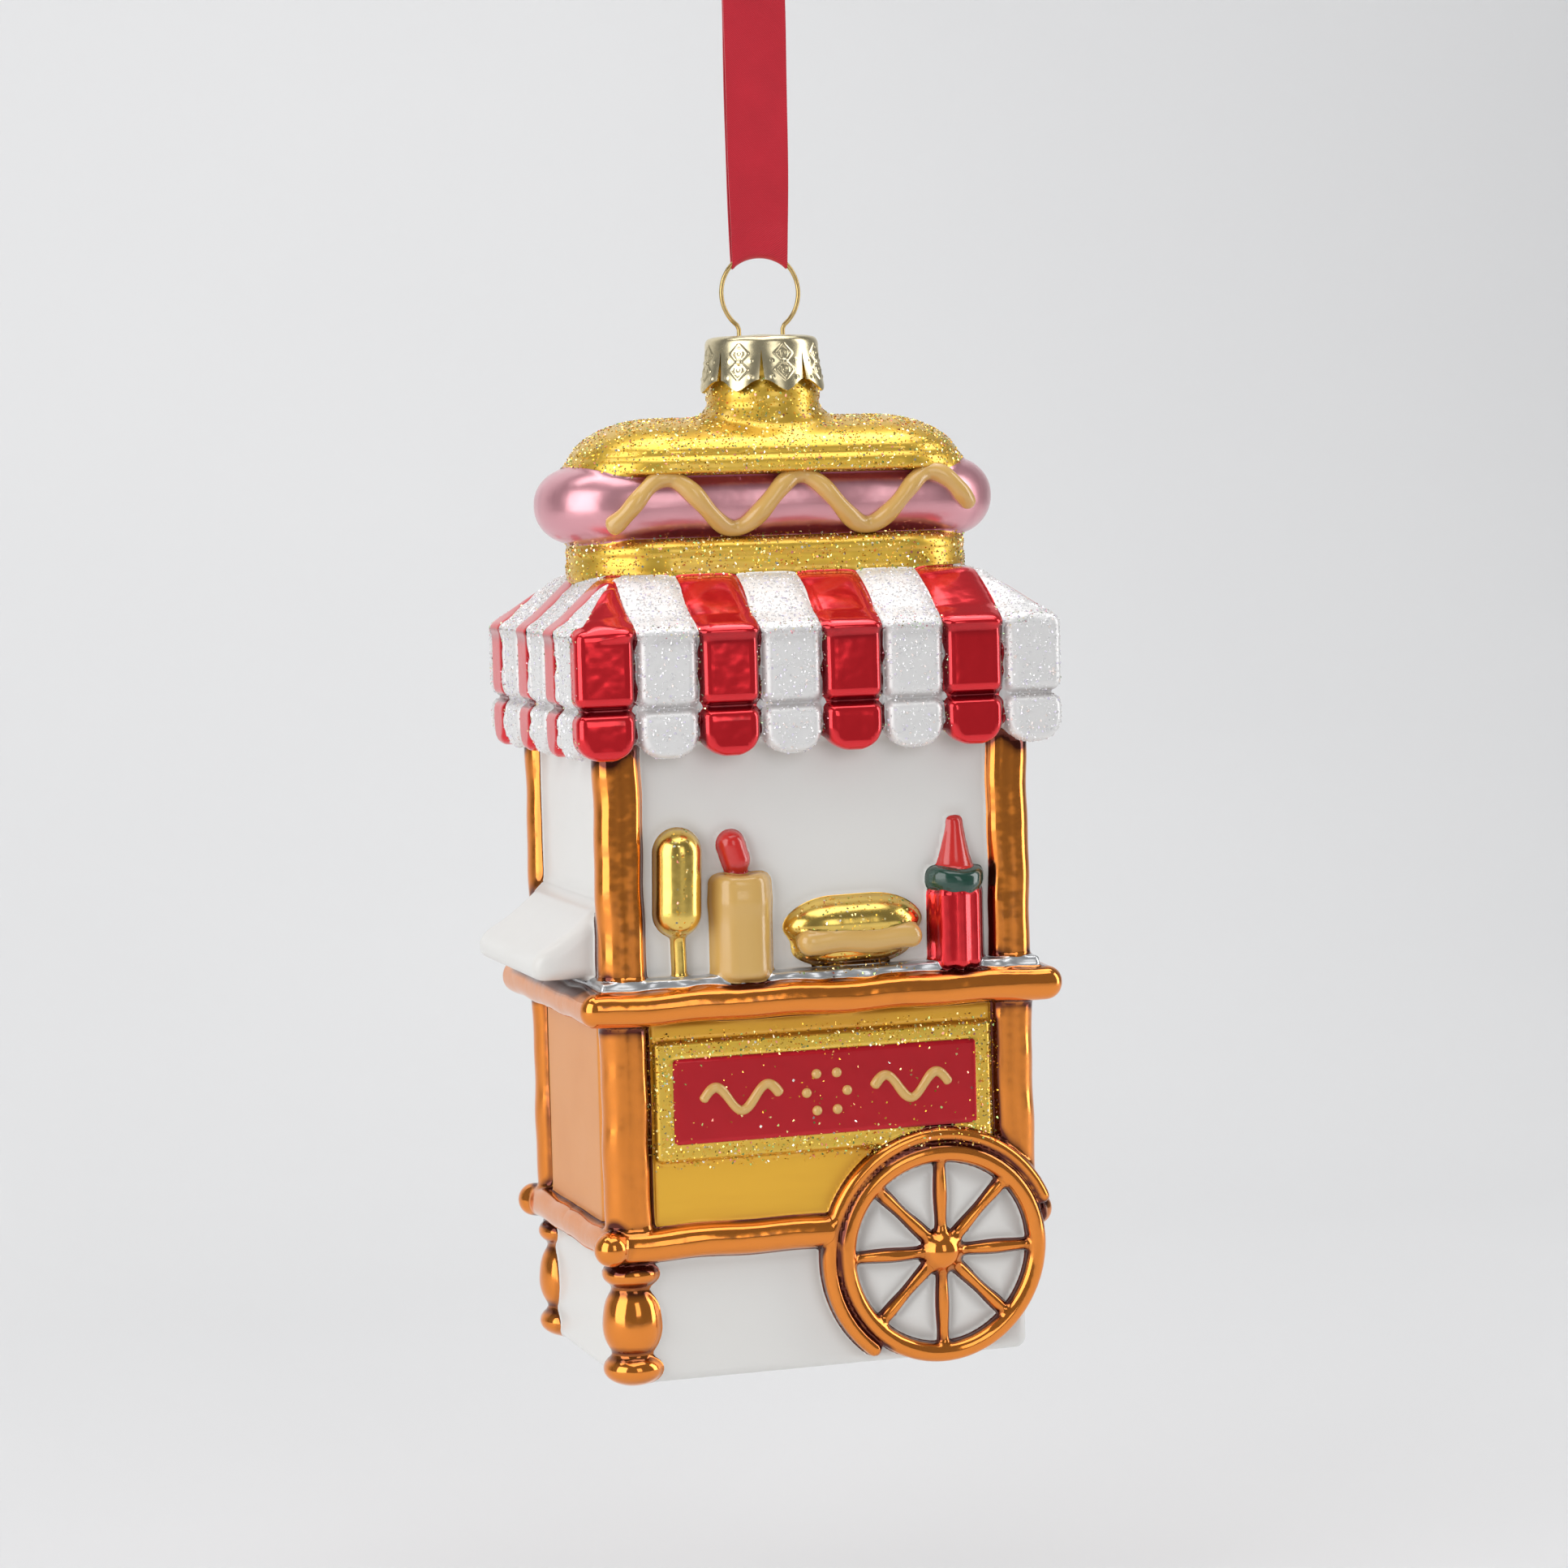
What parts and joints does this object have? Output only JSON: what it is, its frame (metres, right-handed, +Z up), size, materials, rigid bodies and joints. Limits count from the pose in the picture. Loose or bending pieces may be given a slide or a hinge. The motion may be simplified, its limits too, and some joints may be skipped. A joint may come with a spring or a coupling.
{
  "type": "glass cart ornament",
  "caption": "Mould-blown glass tree ornament shaped like a push vending cart with a striped awning, on a crown cap, wire ring and ribbon loop.",
  "frame": {"origin": "the hanging point, inside the ribbon loop just under its knot; the ornament hangs straight below it", "axes": "+Z up, the front of the cart faces -Y, the wheels are towards +X and the side shelf towards -X"},
  "size_m": [0.0664, 0.0436, 0.1975],
  "materials": {
    "ribbon_satin": "woven satin",
    "gold_wire": "bright wire",
    "cap_metal": "stamped pale gold",
    "gold_glitter": "gold lacquer with glitter",
    "sausage_pearl": "pink pearl lacquer",
    "mustard_enamel": "raised gloss enamel",
    "white_frost": "white sugar frosting",
    "red_lacquer": "transparent red over silvering",
    "white_lacquer": "satin white lacquer",
    "copper_lacquer": "transparent copper over silvering",
    "silver_lacquer": "silver paint",
    "gold_lacquer": "gold lacquer",
    "red_enamel": "gloss red enamel",
    "green_enamel": "gloss dark green enamel",
    "amber_lacquer": "brushed golden lacquer",
    "orange_lacquer": "satin orange lacquer"
  },
  "bodies": {
    "knot": {"ribbon_knot": "ribbon_satin", "ribbon_tails": "ribbon_satin"},
    "ribbon": {"ribbon_front": "ribbon_satin", "ribbon_back": "ribbon_satin", "ribbon_fold": "ribbon_satin"},
    "hanger": {"hanger_wire": "gold_wire"},
    "cap": {"cap": "cap_metal"},
    "glass": {"neck": "gold_glitter", "bun_top": "gold_glitter", "sausage": "sausage_pearl", "mustard_line_front": "mustard_enamel", "mustard_line_back": "mustard_enamel", "bun_bottom": "gold_glitter", "awning_roof": "white_frost", "awning_core": "white_frost", "awning_front_red": "red_lacquer", "awning_front_white": "white_frost", "awning_back_red": "red_lacquer", "awning_back_white": "white_frost", "awning_left_red": "red_lacquer", "awning_left_white": "white_frost", "awning_right_red": "red_lacquer", "awning_right_white": "white_frost", "serving_block": "white_lacquer", "serving_post_front_left": "copper_lacquer", "serving_post_front_right": "copper_lacquer", "serving_post_back_left": "copper_lacquer", "serving_post_back_right": "copper_lacquer", "side_shelf": "white_lacquer", "counter_strip": "silver_lacquer", "counter_rail": "copper_lacquer", "corn_dogs": "gold_lacquer", "corn_dog_sticks": "gold_lacquer", "mustard_bottles": "mustard_enamel", "mustard_tips": "red_enamel", "hot_dog_buns": "gold_lacquer", "hot_dog_fillings": "mustard_enamel", "sauce_bottles": "red_lacquer", "sauce_collars": "green_enamel", "sauce_caps": "red_enamel", "cabinet_shell": "amber_lacquer", "cabinet_post_front_left": "copper_lacquer", "cabinet_post_front_right": "copper_lacquer", "cabinet_post_back_left": "copper_lacquer", "cabinet_post_back_right": "copper_lacquer", "front_panels": "amber_lacquer", "side_panels": "orange_lacquer", "sign_boards": "red_lacquer", "sign_borders": "gold_glitter", "sign_motifs": "mustard_enamel", "lower_rail": "copper_lacquer", "corner_knobs": "copper_lacquer", "fenders": "copper_lacquer", "wheel_rims": "copper_lacquer", "wheel_spokes": "copper_lacquer", "wheel_hubs": "copper_lacquer", "wheel_discs": "white_lacquer", "legs": "copper_lacquer", "skirt": "white_lacquer"}
  },
  "joints": [
    {"name": "ribbon_twist", "type": "hinge", "parent": "knot", "child": "ribbon", "pos_m": [0, 0, 0], "axis": [0, 0, 1], "range_deg": [-90, 90], "stiffness_Nm_per_rad": 0.0003},
    {"name": "ribbon_swing", "type": "hinge", "parent": "ribbon", "child": "hanger", "pos_m": [0, 0, -0.046], "axis": [1, 0, 0], "range_deg": [-60, 60]},
    {"name": "hanger_play", "type": "slide", "parent": "hanger", "child": "cap", "axis": [0, 0, -1], "range_m": [0, 0.001]},
    {"name": "cap_pull", "type": "slide", "parent": "cap", "child": "glass", "axis": [0, 0, -1], "range_m": [0, 0.024]}
  ]
}
